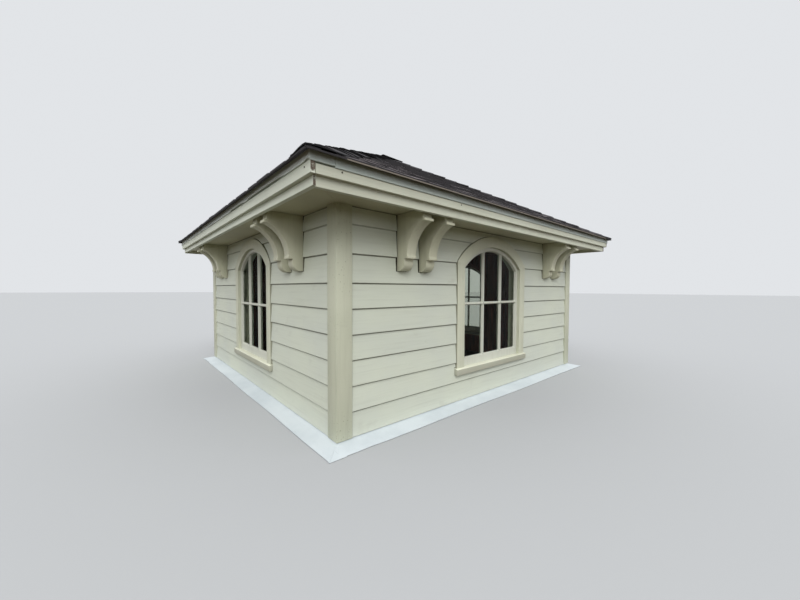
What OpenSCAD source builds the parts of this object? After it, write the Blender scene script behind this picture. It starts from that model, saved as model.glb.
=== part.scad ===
// Square roof cupola with lap siding, four arched windows, paired eave brackets and a hip roof.
// Lengths are in millimetres. The origin is the middle of the base, +Z is up.
// Every face is drawn as the front one, which looks towards -Y, and is then turned into its place.

/* [Body] */
// Width of each face over its corner boards
body_w = 3000; // [2800:50:3600]
// Height of the soffit's underside above the base
soffit_z = 1333; // [1325:1:1420]
// Thickness of a framed and sheathed wall
wall_t = 76; // [60:1:110]
// Thickness of the board lining inside
lining_t = 12; // [8:1:20]
// Thickness of the ceiling boards
ceiling_t = 12; // [8:1:20]

/* [Siding] */
// Face width of a corner board
corner_w = 100; // [70:1:130]
// Thickness of a corner board and of the window casing
trim_t = 25; // [22:1:35]
// Exposed height of a lap board
lap_exposure = 145.5; // [120:0.5:170]
// Exposed height of the wider lap boards next to the soffit
wide_exposure = 163; // [120:1:180]
// Thickness of a lap board at its lower edge
lap_butt = 20; // [14:1:21]
// Thickness of a lap board where the next one covers it
lap_top = 9; // [5:1:12]

/* [Windows] */
// Clear width between the casings
window_w = 800; // [700:10:880]
// Height of the sill's top above the base
sill_z = 280; // [240:5:400]
// Height of the arch from its springing to its crown
arch_rise = 170; // [120:5:220]
// Height of the arch's crown above the base
crown_z = 1218; // [1150:1:1228]
// Face width of the casing
casing_w = 85; // [60:1:90]
// Thickness of the frame round the opening
jamb_t = 19; // [12:1:30]
// Thickness of the sill
sill_t = 45; // [30:1:60]
// How far the sill stands out past the casing
sill_out = 15; // [5:1:40]
// How far the sill runs past the casing on each side
sill_ear = 15; // [5:1:40]
// Drop of the sill's weathered front edge
sill_fall = 6; // [2:1:12]

/* [Sashes] */
// How far a sash sits behind the casing's face
sash_set = 24; // [10:1:30]
// Thickness of a sash
sash_t = 35; // [28:1:45]
// Gap between a sash and its frame
sash_gap = 2; // [1:0.5:4]
// Face width of a sash's stiles and arched head
stile_w = 34; // [28:1:50]
// Face width of a sash's bottom rail
rail_w = 66; // [45:1:90]
// Face width of a glazing bar
bar_w = 23; // [16:1:30]
// Height of the cross bar's middle above the sill
cross_bar_z = 480; // [300:5:600]
// Height of the left face's cross bar above the sill
left_cross_bar_z = 450; // [300:5:600]
// Thickness of the glass
glass_t = 4; // [3:1:6]
// How far the glass sits behind the sash's face
glass_set = 18; // [10:1:22]

/* [Brackets] */
// Thickness of a bracket
bracket_t = 80; // [50:1:95]
// Distance of the pair's outer bracket from the middle of the face
outer_bracket_x = 1028; // [1000:1:1060]
// Distance of the pair's inner bracket from the middle of the face
inner_bracket_x = 838; // [780:1:860]
// How much further from the middle the front face's right-hand pair stands
front_far_shift = 56; // [0:1:100]
// How much further from the middle the left face's back pair stands
left_far_shift = 32; // [0:1:100]
// Height of a bracket below the soffit
bracket_h = 350; // [320:1:420]
// How far a bracket's nose reaches past the corner boards
bracket_out = 228; // [200:1:228]
// Radius of a bracket's hollow front
hollow_r = 205; // [170:1:215]
// Thickness of a bracket at the foot of its hollow, past the corner boards
waist_out = 80; // [60:1:90]
// Height of the hollow's foot below the soffit
hollow_drop = 260; // [250:1:290]
// Size of the small square bead at each end of the hollow
bead = 16; // [8:1:24]
// How far the tail below the hollow reaches past the corner boards
tail_out = 57; // [45:1:70]
// Radius of the tail's rounded toe
toe_r = 34; // [10:1:40]

/* [Eave] */
// How far the lower fascia stands out past the corner boards
eave_out = 255; // [255:1:320]
// Thickness of the lower fascia
lower_fascia_t = 25; // [19:1:25]
// How far the lower fascia hangs below the soffit
fascia_drop = 31; // [10:1:60]
// Height of the lower fascia that shows
lower_fascia_show = 48; // [30:1:70]
// Thickness of the upper fascia
upper_fascia_t = 22; // [19:1:40]
// Height of the upper fascia that shows
upper_fascia_show = 42; // [15:1:60]
// How far the drip board stands out past the upper fascia that it rests on
drip_board_out = 6; // [0:1:25]
// Height of the drip board's face
drip_board_h = 51; // [40:1:90]
// Thickness of the soffit boards
soffit_t = 12; // [9:1:20]

/* [Roof] */
// Rise of the roof for each unit of run
roof_pitch = 0.54; // [0.4:0.005:0.8]
// Thickness of the roof deck
deck_t = 16; // [12:1:25]
// Exposed length of a shingle course, along the slope
shingle_exposure = 143; // [100:1:200]
// Thickness of the shingles at a course's lower edge
shingle_butt = 12; // [8:1:20]
// Thickness of the shingles where the next course covers them
shingle_top = 5; // [3:1:7]
// How far the shingles reach past the drip board
shingle_over = 31; // [4:1:45]
// Gap along a hip between the boards and shingles of its two slopes, under the hip caps
hip_gap = 4; // [2:1:8]
// Width of a hip cap on each side of its hip
cap_half_w = 150; // [100:1:180]
// Thickness of a hip cap at its lower edge, over the shingles
cap_butt = 12; // [6:1:20]
// Thickness of a hip cap where the next one covers it
cap_top = 4; // [2:1:5]

/* [Flashing] */
// How far the flashing's apron reaches past the corner boards
apron_out = 100; // [60:1:160]
// Height of the apron's bend above its lower edge
apron_rise = 30; // [20:1:60]
// Height of the flashing's upstand behind the siding
upstand_h = 75; // [40:1:120]
// Thickness of the flashing's metal
flashing_t = 2; // [1:0.5:3]
// Gap between the flashing's bend and the siding above it
siding_gap = 3; // [3:1:15]

/* [Hidden] */
$fn = 96;

// Distances from the middle of the plan to the faces of the wall's layers
half_w = body_w / 2;
sheath_r = half_w - trim_t;
stud_r = sheath_r - wall_t;
room_r = stud_r - lining_t;

// Distances from the middle of the plan to the faces of the eave's boards
lower_fascia_r = half_w + eave_out;
soffit_r = lower_fascia_r - lower_fascia_t;
upper_fascia_r = lower_fascia_r + upper_fascia_t;
drip_board_r = upper_fascia_r + drip_board_out;
shingle_r = drip_board_r + shingle_over;

// Heights of the eave's boards
lower_fascia_z = soffit_z - fascia_drop;
upper_fascia_z = lower_fascia_z + lower_fascia_show;
drip_board_z = upper_fascia_z + upper_fascia_show;
eave_z = drip_board_z + drip_board_h;

// The roof's slope, and the height at the middle of its three surfaces
slope = atan(roof_pitch);
deck_top = eave_z + drip_board_r * roof_pitch;
deck_under = deck_top - deck_t / cos(slope);
course_run = shingle_exposure * cos(slope);
course_count = floor(shingle_r / course_run);
// The angle in the slope's plane between the hip and the eave, and the hip's length
hip_turn = atan(1 / cos(slope));
hip_len = shingle_r * sqrt(2 + roof_pitch * roof_pitch);
cap_count = floor(hip_len / shingle_exposure);

// The arch over a window: its radius and the height of its centre
arch_r = (window_w * window_w / 4 + arch_rise * arch_rise) / (2 * arch_rise);
arch_z = crown_z - arch_r;
frame_bottom = sill_z - sill_t;

// Where the faces of a sash and its glass lie
sash_r = half_w - sash_set;
glass_r = sash_r - glass_set;
glazed_w = window_w - 2 * stile_w;
bar_x = (glazed_w + bar_w) / 6;

// The flashing's bend lies at the wall, and its apron falls from there to the base
apron_r = half_w + apron_out;
siding_z = apron_rise + siding_gap;
upstand_r = sheath_r + flashing_t;
upstand_top = apron_rise + upstand_h;

// The bracket's heights
bracket_z = soffit_z - bracket_h;
hollow_z = soffit_z - hollow_drop;
nose_r = half_w + bracket_out;
waist_r = half_w + waist_out;
tail_r = half_w + tail_out;
hollow_x = waist_r + hollow_r;
// The height at which the hollow reaches the bead under the nose
nose_bead_z = hollow_z + sqrt(pow(hollow_r, 2) - pow(hollow_x - nose_r + bead, 2));

paint = [0.80, 0.79, 0.71];
trim_paint = [0.82, 0.80, 0.69];
shade_paint = [0.66, 0.65, 0.55];
sash_paint = [0.78, 0.79, 0.78];
stain = [0.20, 0.09, 0.07];
frame_timber = [0.62, 0.50, 0.36];
drip_paint = [0.68, 0.71, 0.73];
shingle_grey = [0.22, 0.20, 0.21];
cap_grey = [0.16, 0.15, 0.16];
white_metal = [0.86, 0.89, 0.93];
clear_glass = [0.55, 0.65, 0.68, 0.4];

// Turns a piece drawn on the front face to face number n, counted round to the right
module on_face(n) {
    rotate([0, 0, 90 * n]) children();
}

// A plate in the front face's plane, between two distances from the middle of the plan
module plate(inner_r, outer_r) {
    translate([0, -inner_r, 0])
        rotate([90, 0, 0])
            linear_extrude(outer_r - inner_r)
                children();
}

// A profile of distance and height, run along the front face
module run_along(length) {
    rotate([90, 0, -90])
        linear_extrude(length, center = true)
            children();
}

// A square block round the middle of the plan
module square_block(r, low, high) {
    translate([-r, -r, low]) cube([2 * r, 2 * r, high - low]);
}

// The quarter of the plan that belongs to the front face, as far as its mitres
module front_quarter(r, low, high) {
    translate([0, 0, low])
        linear_extrude(high - low)
            polygon([[0, 0], [-r, -r], [r, -r]]);
}

// A pyramid under the slope that reaches the given height at its middle
module under_slope(top, r, low) {
    intersection_for(turn = [0, 90]) {
        rotate([0, 0, turn])
            run_along(2 * r)
                polygon([[-r, low], [r, low], [r, top - r * roof_pitch], [0, top],
                         [-r, top - r * roof_pitch]]);
    }
}

// The window's opening, grown by a margin that follows its arch. The sides cut the circle at the
// springing, and below its centre the block behind them is wider than the circle.
module arch_outline(margin, bottom) {
    half = window_w / 2 + margin;
    r = arch_r + margin;
    intersection() {
        translate([-half, bottom]) square([2 * half, arch_z + 2 * r - bottom]);
        union() {
            translate([0, arch_z]) circle(r = r);
            translate([-2 * r, bottom - r]) square([4 * r, arch_z - bottom + r]);
        }
    }
}

// The panes between a sash's stiles, rails and glazing bars
module pane_outlines(cross_z) {
    difference() {
        arch_outline(-stile_w, sill_z + rail_w);
        for (side = [-1, 1]) {
            translate([side * bar_x - bar_w / 2, sill_z]) square([bar_w, crown_z - sill_z]);
        }
        translate([-window_w / 2, sill_z + cross_z - bar_w / 2]) square([window_w, bar_w]);
    }
}

// Where the two pairs of brackets stand along a face, each pair with its own shift outwards
function bracket_places(left_shift, right_shift) = [
    -outer_bracket_x - left_shift, -inner_bracket_x - left_shift,
    inner_bracket_x + right_shift, outer_bracket_x + right_shift
];

// A framed wall with its window cut through and its top cut to the slope of the roof
module wall(length) {
    color(frame_timber)
        intersection() {
            plate(stud_r, sheath_r)
                difference() {
                    translate([-length / 2, 0]) square([length, deck_under]);
                    arch_outline(jamb_t, frame_bottom);
                }
            under_slope(deck_under, half_w, 0);
        }
}

// The lap siding of one face, cut round the window's trim and the brackets.
// Its boards have the regular exposure from below, and the last ones under the soffit are wider.
module siding(left_shift, right_shift) {
    regular = floor((soffit_z - siding_z - 2.5 * wide_exposure) / lap_exposure);
    wide_z = siding_z + regular * lap_exposure;
    edges = concat(
        [for (i = [0 : regular - 1]) siding_z + i * lap_exposure],
        [for (z = [wide_z : wide_exposure : soffit_z - wide_exposure / 4]) z],
        [soffit_z]);
    teeth = [for (i = [0 : len(edges) - 2]) each [
        [sheath_r + lap_butt, edges[i]],
        [sheath_r + lap_top, edges[i + 1]]
    ]];
    back = [
        [sheath_r, soffit_z],
        [sheath_r, upstand_top],
        [upstand_r, upstand_top],
        [upstand_r, siding_z]
    ];
    color(paint)
        difference() {
            run_along(body_w - 2 * corner_w)
                polygon(concat(teeth, back));
            plate(sheath_r - 1, half_w) {
                arch_outline(casing_w, sill_z);
                translate([-window_w / 2 - casing_w - sill_ear, sill_z - sill_t - sill_fall])
                    square([window_w + 2 * (casing_w + sill_ear), sill_t + sill_fall]);
            }
            for (x = bracket_places(left_shift, right_shift)) {
                translate([x - bracket_t / 2, -half_w, bracket_z])
                    cube([bracket_t, trim_t + 1, bracket_h + 1]);
            }
        }
}

// The board that wraps a corner, over the flashing's upstand
module corner_board() {
    color(trim_paint)
        difference() {
            translate([0, 0, siding_z])
                linear_extrude(soffit_z - siding_z)
                    difference() {
                        translate([-half_w, -half_w]) square(corner_w);
                        translate([-sheath_r, -sheath_r]) square(corner_w);
                    }
            square_block(upstand_r, 0, upstand_top);
        }
}

// The arched casing on the wall's face and the jamb that lines the opening
module window_frame() {
    color(trim_paint) {
        plate(sheath_r, half_w)
            difference() {
                arch_outline(casing_w, sill_z);
                arch_outline(0, sill_z - 1);
            }
        plate(room_r, sheath_r)
            difference() {
                arch_outline(jamb_t, sill_z);
                arch_outline(0, sill_z - 1);
            }
    }
}

// The sill, weathered in front, with ears under the casing
module sill() {
    color(trim_paint) {
        run_along(window_w + 2 * jamb_t)
            polygon([[room_r, frame_bottom], [sheath_r, frame_bottom],
                     [sheath_r, sill_z], [room_r, sill_z]]);
        run_along(window_w + 2 * (casing_w + sill_ear))
            polygon([[sheath_r, frame_bottom], [half_w, frame_bottom - sill_fall],
                     [half_w + sill_out, frame_bottom - sill_fall],
                     [half_w + sill_out, sill_z - sill_fall],
                     [half_w, sill_z], [sheath_r, sill_z]]);
    }
}

// The arched sash with its glazing bars
module sash(cross_z) {
    color(sash_paint)
        plate(sash_r - sash_t, sash_r)
            difference() {
                arch_outline(-sash_gap, sill_z);
                pane_outlines(cross_z);
            }
}

// The six panes between the bars
module glass(cross_z) {
    color(clear_glass)
        plate(glass_r - glass_t, glass_r)
            pane_outlines(cross_z);
}

// A bracket's outline: a thick plank with a hollow front, a bead at each end and a rounded toe.
// Over the upper bead the plank steps back from its nose.
module bracket_outline() {
    difference() {
        translate([sheath_r, hollow_z]) square([nose_r - bead - sheath_r, hollow_drop]);
        translate([hollow_x, hollow_z]) circle(r = hollow_r);
    }
    translate([nose_r - 5 / 4 * bead, nose_bead_z - bead / 8])
        square([5 / 4 * bead, 9 / 8 * bead]);
    translate([sheath_r, hollow_z - bead])
        square([waist_r + bead / 3 - sheath_r, bead]);
    translate([sheath_r, bracket_z + toe_r])
        square([tail_r - sheath_r, hollow_z - bead - bracket_z - toe_r]);
    translate([sheath_r, bracket_z])
        square([tail_r - toe_r - sheath_r, toe_r]);
    intersection() {
        translate([tail_r - toe_r, bracket_z + toe_r]) circle(r = toe_r);
        translate([tail_r - toe_r, bracket_z]) square(toe_r);
    }
}

// The two pairs of brackets of one face
module brackets(left_shift, right_shift) {
    color(shade_paint)
        for (x = bracket_places(left_shift, right_shift)) {
            translate([x, 0, 0])
                run_along(bracket_t)
                    bracket_outline();
        }
}

// The bent metal flashing of one face, mitred at both ends
module flashing() {
    fall = apron_rise / (apron_r - sheath_r);
    lift = flashing_t / cos(atan(fall));
    color(white_metal)
        intersection() {
            run_along(2 * apron_r)
                polygon([
                    [sheath_r, apron_rise],
                    [apron_r, 0],
                    [apron_r, lift],
                    [upstand_r, apron_rise - fall * flashing_t + lift],
                    [upstand_r, upstand_top],
                    [sheath_r, upstand_top]
                ]);
            front_quarter(apron_r, 0, upstand_top);
        }
}

// The dark boards inside the room, cut round the window frames
module interior_lining() {
    color(stain)
        difference() {
            square_block(stud_r, 0, soffit_z);
            square_block(room_r, -1, soffit_z + 1);
            for (n = [0 : 3]) {
                on_face(n)
                    plate(room_r - 1, stud_r + 1)
                        arch_outline(jamb_t, frame_bottom);
            }
        }
}

// The boards over the room, which rest on the lining
module ceiling() {
    color(stain)
        square_block(stud_r, soffit_z, soffit_z + ceiling_t);
}

// The soffit between the wall and the lower fascia
module soffit() {
    color(shade_paint)
        difference() {
            square_block(soffit_r, soffit_z, soffit_z + soffit_t);
            square_block(sheath_r, soffit_z - 1, soffit_z + soffit_t + 1);
        }
}

// A square ring of board under the slope, mitred at its corners
module eave_board(inner_r, outer_r, low, top) {
    difference() {
        intersection() {
            square_block(outer_r, low, top);
            under_slope(top, outer_r + 1, low);
        }
        square_block(inner_r, low - 1, top);
    }
}

module lower_fascia() {
    color(trim_paint)
        eave_board(soffit_r, lower_fascia_r, lower_fascia_z, deck_under);
}

module upper_fascia() {
    color(trim_paint)
        difference() {
            square_block(upper_fascia_r, upper_fascia_z, drip_board_z);
            square_block(lower_fascia_r, upper_fascia_z - 1, drip_board_z + 1);
        }
}

// The board on the upper fascia, which covers the deck's edge
module drip_board() {
    color(drip_paint)
        eave_board(lower_fascia_r, drip_board_r, drip_board_z, deck_top);
}

// One layer of the front slope, repeated on all four and sawn back from the hips by half the gap
module each_slope(r) {
    for (n = [0 : 3]) {
        on_face(n)
            intersection() {
                run_along(2 * r)
                    children();
                translate([0, -hip_gap / sqrt(2), 0])
                    front_quarter(r, eave_z / 2, 2 * deck_top);
            }
    }
}

// The height of the roof deck's top at a distance from the middle of the plan
function deck_at(r) = deck_top - r * roof_pitch;

// The roof's boarding, one slab for each slope, which rests on the walls and the lower fascia
module roof_deck() {
    r = lower_fascia_r;
    color(frame_timber)
        each_slope(r)
            polygon([[0, deck_under], [r, deck_under - r * roof_pitch], [r, deck_at(r)], [0, deck_top]]);
}

// The stepped outline of the shingle courses, from the eave up to the middle
function course_r(i) = shingle_r - i * course_run;
last_share = course_r(course_count) / course_run;
shingle_steps = concat(
    [for (i = [0 : course_count - 1]) each [
        [course_r(i), deck_at(course_r(i)) + shingle_butt / cos(slope)],
        [course_r(i + 1), deck_at(course_r(i + 1)) + shingle_top / cos(slope)]
    ]],
    [[course_r(course_count),
      deck_at(course_r(course_count)) + shingle_butt / cos(slope)]],
    [[0, deck_top + (shingle_butt + (shingle_top - shingle_butt) * last_share) / cos(slope)]]);

// The body under the shingles' outer faces, as two stepped gables that cross at the hips
module under_shingles(low) {
    left_steps = [for (i = [len(shingle_steps) - 2 : -1 : 0])
        [-shingle_steps[i][0], shingle_steps[i][1]]];
    intersection_for(turn = [0, 90]) {
        rotate([0, 0, turn])
            run_along(2 * shingle_r)
                polygon(concat([[-shingle_r, low], [shingle_r, low]], shingle_steps, left_steps));
    }
}

// The courses of shingles on the four slopes
module roof_shingles() {
    color(shingle_grey)
        each_slope(shingle_r)
            polygon(concat([[0, deck_top], [shingle_r, deck_at(shingle_r)]], shingle_steps));
}

// One side of a hip's caps, on the front slope and beside its right-hand hip
module cap_strip() {
    steps = [for (i = [0 : cap_count]) each [
        [hip_len - i * shingle_exposure, shingle_butt + cap_butt],
        [max(hip_len - (i + 1) * shingle_exposure, 0), shingle_butt + cap_top]
    ]];
    translate([0, 0, deck_top])
        rotate([slope, 0, 0])
            rotate([0, 0, -hip_turn])
                translate([0, cap_half_w / 4, 0])
                    rotate([90, 0, 0])
                        linear_extrude(cap_half_w * 5 / 4)
                            polygon(concat([[0, 0], [hip_len, 0]], steps));
}

// The overlapping caps that cover the four hips and meet over the middle
module hip_caps() {
    color(cap_grey)
        difference() {
            intersection() {
                for (n = [0 : 3]) {
                    on_face(n)
                        intersection() {
                            union() {
                                cap_strip();
                                mirror([1, 0, 0]) cap_strip();
                            }
                            front_quarter(shingle_r, eave_z / 2, 2 * deck_top);
                        }
                }
                square_block(shingle_r, eave_z / 2, 2 * deck_top);
            }
            under_shingles(eave_z / 2 - 1);
        }
}

on_face(0) wall(2 * sheath_r);  // front_wall
on_face(1) wall(2 * stud_r);  // right_wall
on_face(2) wall(2 * sheath_r);  // back_wall
on_face(3) wall(2 * stud_r);  // left_wall
on_face(0) siding(0, front_far_shift);  // front_siding
on_face(1) siding(0, 0);  // right_siding
on_face(2) siding(0, 0);  // back_siding
on_face(3) siding(left_far_shift, 0);  // left_siding
on_face(0) corner_board();  // front_left_corner_board
on_face(1) corner_board();  // front_right_corner_board
on_face(2) corner_board();  // back_right_corner_board
on_face(3) corner_board();  // back_left_corner_board
on_face(0) window_frame();  // front_window_frame
on_face(1) window_frame();  // right_window_frame
on_face(2) window_frame();  // back_window_frame
on_face(3) window_frame();  // left_window_frame
on_face(0) sill();  // front_sill
on_face(1) sill();  // right_sill
on_face(2) sill();  // back_sill
on_face(3) sill();  // left_sill
on_face(0) sash(cross_bar_z);  // front_sash
on_face(1) sash(cross_bar_z);  // right_sash
on_face(2) sash(cross_bar_z);  // back_sash
on_face(3) sash(left_cross_bar_z);  // left_sash
on_face(0) glass(cross_bar_z);  // front_glass
on_face(1) glass(cross_bar_z);  // right_glass
on_face(2) glass(cross_bar_z);  // back_glass
on_face(3) glass(left_cross_bar_z);  // left_glass
on_face(0) brackets(0, front_far_shift);  // front_brackets
on_face(1) brackets(0, 0);  // right_brackets
on_face(2) brackets(0, 0);  // back_brackets
on_face(3) brackets(left_far_shift, 0);  // left_brackets
on_face(0) flashing();  // front_flashing
on_face(1) flashing();  // right_flashing
on_face(2) flashing();  // back_flashing
on_face(3) flashing();  // left_flashing
interior_lining();
ceiling();
soffit();
lower_fascia();
upper_fascia();
drip_board();
roof_deck();
roof_shingles();
hip_caps();
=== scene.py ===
# A square roof cupola in cream paint, dressed in the order in which it is put together.
import math
import random

import bmesh
import bpy
from mathutils import Matrix, Vector


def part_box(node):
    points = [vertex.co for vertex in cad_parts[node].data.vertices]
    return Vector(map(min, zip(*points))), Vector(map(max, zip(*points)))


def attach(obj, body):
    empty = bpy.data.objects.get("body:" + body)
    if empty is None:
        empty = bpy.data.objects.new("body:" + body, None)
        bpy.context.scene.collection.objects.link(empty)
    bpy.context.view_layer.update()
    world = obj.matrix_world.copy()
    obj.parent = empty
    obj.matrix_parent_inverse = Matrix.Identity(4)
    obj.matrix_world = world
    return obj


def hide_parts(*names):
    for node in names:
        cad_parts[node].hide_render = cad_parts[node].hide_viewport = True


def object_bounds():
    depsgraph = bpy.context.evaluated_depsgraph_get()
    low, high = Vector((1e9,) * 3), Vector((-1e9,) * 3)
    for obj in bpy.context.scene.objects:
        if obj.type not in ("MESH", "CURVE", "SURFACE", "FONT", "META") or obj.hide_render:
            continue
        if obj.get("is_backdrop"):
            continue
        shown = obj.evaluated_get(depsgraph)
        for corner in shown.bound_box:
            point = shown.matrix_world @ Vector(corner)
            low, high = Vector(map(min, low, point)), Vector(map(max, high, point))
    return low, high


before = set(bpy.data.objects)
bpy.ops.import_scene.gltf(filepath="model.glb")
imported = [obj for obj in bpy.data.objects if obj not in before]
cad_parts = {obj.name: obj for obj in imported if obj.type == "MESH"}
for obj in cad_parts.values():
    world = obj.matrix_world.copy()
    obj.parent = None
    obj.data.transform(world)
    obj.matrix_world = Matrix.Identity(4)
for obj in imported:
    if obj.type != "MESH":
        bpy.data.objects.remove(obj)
cad_low, cad_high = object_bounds()
scene = bpy.context.scene
FACES = ("front", "right", "back", "left")

# Camera
# A wide lens at the height of the window's crossbar, just off the corner between the left and front
# faces, looking slightly down. Its place and turn are solved from the photograph's straight edges.
CAMERA_PLACE = Vector((-2.376, -3.033, 0.873))
CAMERA_YAW = math.radians(40.85)
CAMERA_PITCH = math.radians(-1.96)
CAMERA_ROLL = math.radians(0.23)
FOCAL_MM = 14.6
SENSOR_MM = 36.0
NEAREST_SEEN = 0.05


def stand(name, data):
    """A new object in the scene for a mesh, a camera or a lamp"""
    made = bpy.data.objects.new(name, data)
    scene.collection.objects.link(made)
    return made


lens = bpy.data.cameras.new("camera")
lens.lens = FOCAL_MM
lens.sensor_width = SENSOR_MM
lens.clip_start = NEAREST_SEEN
turn = Matrix.Rotation(-CAMERA_YAW, 4, "Z")
turn = turn @ Matrix.Rotation(math.pi / 2 + CAMERA_PITCH, 4, "X")
turn = turn @ Matrix.Rotation(CAMERA_ROLL, 4, "Z")
camera = stand("camera", lens)
camera.matrix_world = Matrix.Translation(CAMERA_PLACE) @ turn
scene.camera = camera

# Framed walls and roof boarding
# Studs under board sheathing, and the roof's sawn boards, all bare softwood nailed together. The siding,
# lining and shingles cover nearly all of them, so they keep their own meshes.
LEVEL_GRAIN = (2.6, 2.6, 75.0)
UPRIGHT_GRAIN = (75.0, 75.0, 2.6)
sheath_half = -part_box("front_wall")[0].y


def screen(colour):
    """A colour given by its three values on a screen, as a shader wants it. A socket stays as it is."""
    if not isinstance(colour, tuple):
        return colour
    shares = [value / 255 for value in colour]
    light = [s / 12.92 if s <= 0.04045 else ((s + 0.055) / 1.055) ** 2.4 for s in shares]
    return (*light, 1.0)


def give(tree, socket, value):
    """Links a node's socket to another one, or sets it to a value"""
    if isinstance(value, bpy.types.NodeSocket):
        tree.links.new(value, socket)
    else:
        socket.default_value = value


def adder(tree):
    """A short call that adds a node to a tree, with its settings and what its sockets are given"""
    def add(kind, sockets, **settings):
        node = tree.nodes.new(kind)
        for key, value in settings.items():
            setattr(node, key, value)
        for key, value in sockets.items():
            give(tree, node.inputs[key], value)
        return node
    return add


class Finish:
    """A material with short calls that add its patterns. They lie on Object coordinates."""

    def __init__(self, name, roughness):
        self.material = bpy.data.materials.new(name)
        self.material.use_nodes = True
        self.tree = self.material.node_tree
        self.add = adder(self.tree)
        self.place = self.add("ShaderNodeTexCoord", {}).outputs["Object"]
        self.shade("Roughness", roughness)

    def shade(self, name, value):
        """Gives the shader's own socket a value or a link"""
        give(self.tree, self.tree.nodes["Principled BSDF"].inputs[name], value)

    def stretched(self, lumps):
        """Object coordinates with so many units a metre along X, Y and Z"""
        return self.add("ShaderNodeVectorMath", {0: self.place, 1: lumps}, operation="MULTIPLY").outputs[0]

    def noise(self, lumps, detail=3.0, roughness=0.6):
        sockets = {"Vector": self.stretched(lumps), "Scale": 1.0, "Detail": detail, "Roughness": roughness}
        return self.add("ShaderNodeTexNoise", sockets).outputs[0]

    def dots(self, lumps):
        """Distance from scattered points, so many a metre"""
        return self.add("ShaderNodeTexVoronoi", {"Vector": self.stretched(lumps), "Scale": 1.0}).outputs[0]

    def fade(self, value, low, high, start=0.0, end=1.0):
        """The value stretched so that low becomes start and high becomes end, and cut off there"""
        sockets = {"Value": value, "From Min": low, "From Max": high, "To Min": start, "To Max": end}
        return self.add("ShaderNodeMapRange", sockets).outputs[0]

    def sum(self, first, second, kind="ADD"):
        return self.add("ShaderNodeMath", {0: first, 1: second}, operation=kind).outputs[0]

    def blend(self, under, over, share, kind="MIX"):
        sockets = {0: share, 6: screen(under), 7: screen(over)}
        return self.add("ShaderNodeMix", sockets, data_type="RGBA", blend_type=kind).outputs[2]

    def marked(self, name):
        """The piece's own attribute, which is nought where the piece has none"""
        return self.add("ShaderNodeAttribute", {}, attribute_name=name).outputs["Fac"]

    def toned(self, colour, low, high):
        """The colour made darker or lighter by the tone that a piece is marked with"""
        tone = self.fade(self.marked("tone"), -1.0, 1.0, low, high)
        tint = self.add("ShaderNodeCombineColor", {0: tone, 1: tone, 2: tone}).outputs[0]
        return self.blend(colour, tint, 1.0, "MULTIPLY")

    def reach(self):
        """How far a point lies from the middle of the plan, along X or Y"""
        away = self.add("ShaderNodeVectorMath", {0: self.place}, operation="ABSOLUTE").outputs[0]
        sides = self.add("ShaderNodeSeparateXYZ", {0: away}).outputs
        return self.sum(sides["X"], sides["Y"], "MAXIMUM")

    def colour(self, value):
        self.shade("Base Color", screen(value))

    def relief(self, height, depth, strength=1.0):
        """Bump of so many metres where height goes from 0 to 1"""
        bump = self.add("ShaderNodeBump", {"Height": height, "Distance": depth, "Strength": strength})
        self.shade("Normal", bump.outputs[0])


def bare_timber(name, pale, dark, grain, felt_from=None):
    """Unpainted softwood with darker summer wood along its grain and a few stains. Black felt covers it
    from a distance from the middle outwards."""
    finish = Finish(name, 0.8)
    lines = finish.noise(grain, 5.0)
    stains = finish.noise((3.0, 3.0, 3.0))
    wood = finish.blend(pale, dark, finish.fade(lines, 0.42, 0.62))
    wood = finish.blend(wood, dark, finish.fade(stains, 0.6, 0.8, 0.0, 0.5))
    if felt_from:
        felted = finish.fade(finish.reach(), felt_from - 0.001, felt_from - 0.0005)
        wood = finish.blend(wood, (30, 27, 24), felted)
    finish.colour(wood)
    finish.relief(lines, 0.0008)
    return finish.material


def coat(piece, material):
    piece.data.materials.clear()
    piece.data.materials.append(material)


framing_timber = bare_timber("framing_timber", (176, 146, 104), (132, 100, 66), LEVEL_GRAIN, sheath_half)
for name in [face + "_wall" for face in FACES] + ["roof_deck"]:
    coat(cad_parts[name], framing_timber)

# Board lining and ceiling
# Narrow upright boards in a dark red-brown stain, nailed to the studs and cut round the window frames,
# with the same boards over the room. They show through the glass.
LINING_BOARD = 0.089
LINING_GROOVE = 0.004
CUT_PAST = 0.02
CASING_W = 0.085
ARCH_RISE = 0.17
JAMB_T = 0.019
TONE_SEED = 7
room_half = -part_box("front_window_frame")[1].y
stud_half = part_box("interior_lining")[1].x
soffit_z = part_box("soffit")[0].z
frame_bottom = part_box("front_sill")[0].z
clear_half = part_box("front_window_frame")[1].x - CASING_W
crown_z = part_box("front_window_frame")[1].z - CASING_W
arch_radius = (clear_half**2 + ARCH_RISE**2) / (2 * ARCH_RISE)
arch_centre = crown_z - arch_radius


def arch_path(margin, foot, steps=32):
    """Points of X and Z up one side of a window, over its arch and down the other, a margin outside the
    clear opening. Without a foot they stay on the arch."""
    half = clear_half + margin
    radius = arch_radius + margin
    spring = math.asin(half / radius)
    angles = [spring * (-1.0 + 2.0 * i / steps) for i in range(steps + 1)]
    points = [(radius * math.sin(a), arch_centre + radius * math.cos(a)) for a in angles]
    if foot is not None:
        points = [(-half, foot)] + points + [(half, foot)]
    return points


def turned(piece, number):
    """The piece turned from the front face to another, counted round to the right"""
    piece.data.transform(Matrix.Rotation(number * math.pi / 2, 4, "Z"))
    return piece


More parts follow.
